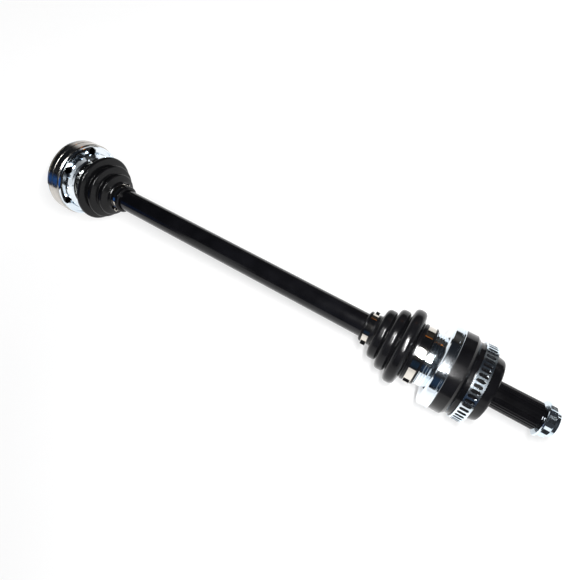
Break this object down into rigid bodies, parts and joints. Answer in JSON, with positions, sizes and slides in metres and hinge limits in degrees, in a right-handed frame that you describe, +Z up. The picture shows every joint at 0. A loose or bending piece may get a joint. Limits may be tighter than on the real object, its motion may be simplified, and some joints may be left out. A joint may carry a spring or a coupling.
{
  "type": "cv axle",
  "caption": "Drive half-shaft: a bar with a plunging bolted joint at one end and a fixed joint with a splined, nutted stub at the other, under rubber boots.",
  "frame": {"origin": "centre of the bolt circle on the inner joint's mounting face, where the sealing cover's flange meets the drive flange", "axes": "+X along the axle towards the wheel, +Z up, +Y completes the right-handed frame"},
  "size_m": [0.6732, 0.1, 0.1],
  "materials": {
    "shaft_paint": "gloss black paint",
    "bell_black": "satin black paint",
    "race_steel": "ground and polished steel",
    "zinc_plate": "bright zinc plate",
    "ring_zinc": "blue-bright zinc plate",
    "clamp_steel": "bright stainless strip",
    "hardened_steel": "hardened, ground",
    "ball_steel": "polished",
    "spring_steel": "oiled dark",
    "boot_rubber": "semi-gloss black",
    "seal_rubber": "matt",
    "gasket": "pressed fibre"
  },
  "bodies": {
    "axle_shaft": {"axle_shaft": "shaft_paint", "inner_star": "hardened_steel", "outer_star": "hardened_steel", "inner_star_circlip": "spring_steel", "outer_star_circlip": "spring_steel", "inner_dished_washer": "spring_steel", "inner_small_clamp": "clamp_steel", "outer_small_clamp": "clamp_steel"},
    "outer_cage": {"outer_cage": "hardened_steel", "outer_balls": "ball_steel", "outer_boot": "boot_rubber"},
    "outer_joint": {"outer_bell": "bell_black", "outer_boot_cap": "zinc_plate", "outer_cap_seal": "seal_rubber", "abs_ring": "ring_zinc", "outer_large_clamp": "clamp_steel"},
    "axle_nut": {"axle_nut": "ring_zinc"},
    "inner_cage": {"inner_cage": "hardened_steel", "inner_balls": "ball_steel"},
    "inner_boot": {"inner_boot": "boot_rubber"},
    "inner_joint": {"inner_joint_race": "race_steel", "inner_boot_cap": "zinc_plate", "inner_sealing_cover": "zinc_plate", "inner_cover_gasket": "gasket", "inner_large_clamp": "clamp_steel"}
  },
  "joints": [
    {"name": "outer_cage_bend", "type": "hinge", "parent": "axle_shaft", "child": "outer_cage", "pos_m": [0.556, 0, 0], "axis": [0, 1, 0], "range_deg": [-9, 9], "deforming": ["outer_boot"]},
    {"name": "outer_bell_bend", "type": "hinge", "parent": "outer_cage", "child": "outer_joint", "pos_m": [0.556, 0, 0], "axis": [0, 1, 0], "range_deg": [-9, 9]},
    {"name": "nut_spin", "type": "hinge", "parent": "outer_joint", "child": "axle_nut", "pos_m": [0.65, 0, 0], "axis": [1, 0, 0], "continuous": true},
    {"name": "inner_cage_bend", "type": "hinge", "parent": "axle_shaft", "child": "inner_cage", "pos_m": [0.0125, 0, 0], "axis": [0, 1, 0], "range_deg": [-10, 10]},
    {"name": "inner_race_bend", "type": "hinge", "parent": "inner_cage", "child": "inner_boot", "pos_m": [0.0125, 0, 0], "axis": [0, 1, 0], "range_deg": [-10, 10], "deforming": ["inner_boot"]},
    {"name": "inner_plunge", "type": "slide", "parent": "inner_boot", "child": "inner_joint", "axis": [1, 0, 0], "range_m": [-0.005, 0.005]}
  ],
  "couplings": [
    {"joint": "outer_bell_bend", "follows": "outer_cage_bend", "ratio": 1},
    {"joint": "inner_race_bend", "follows": "inner_cage_bend", "ratio": 1}
  ]
}
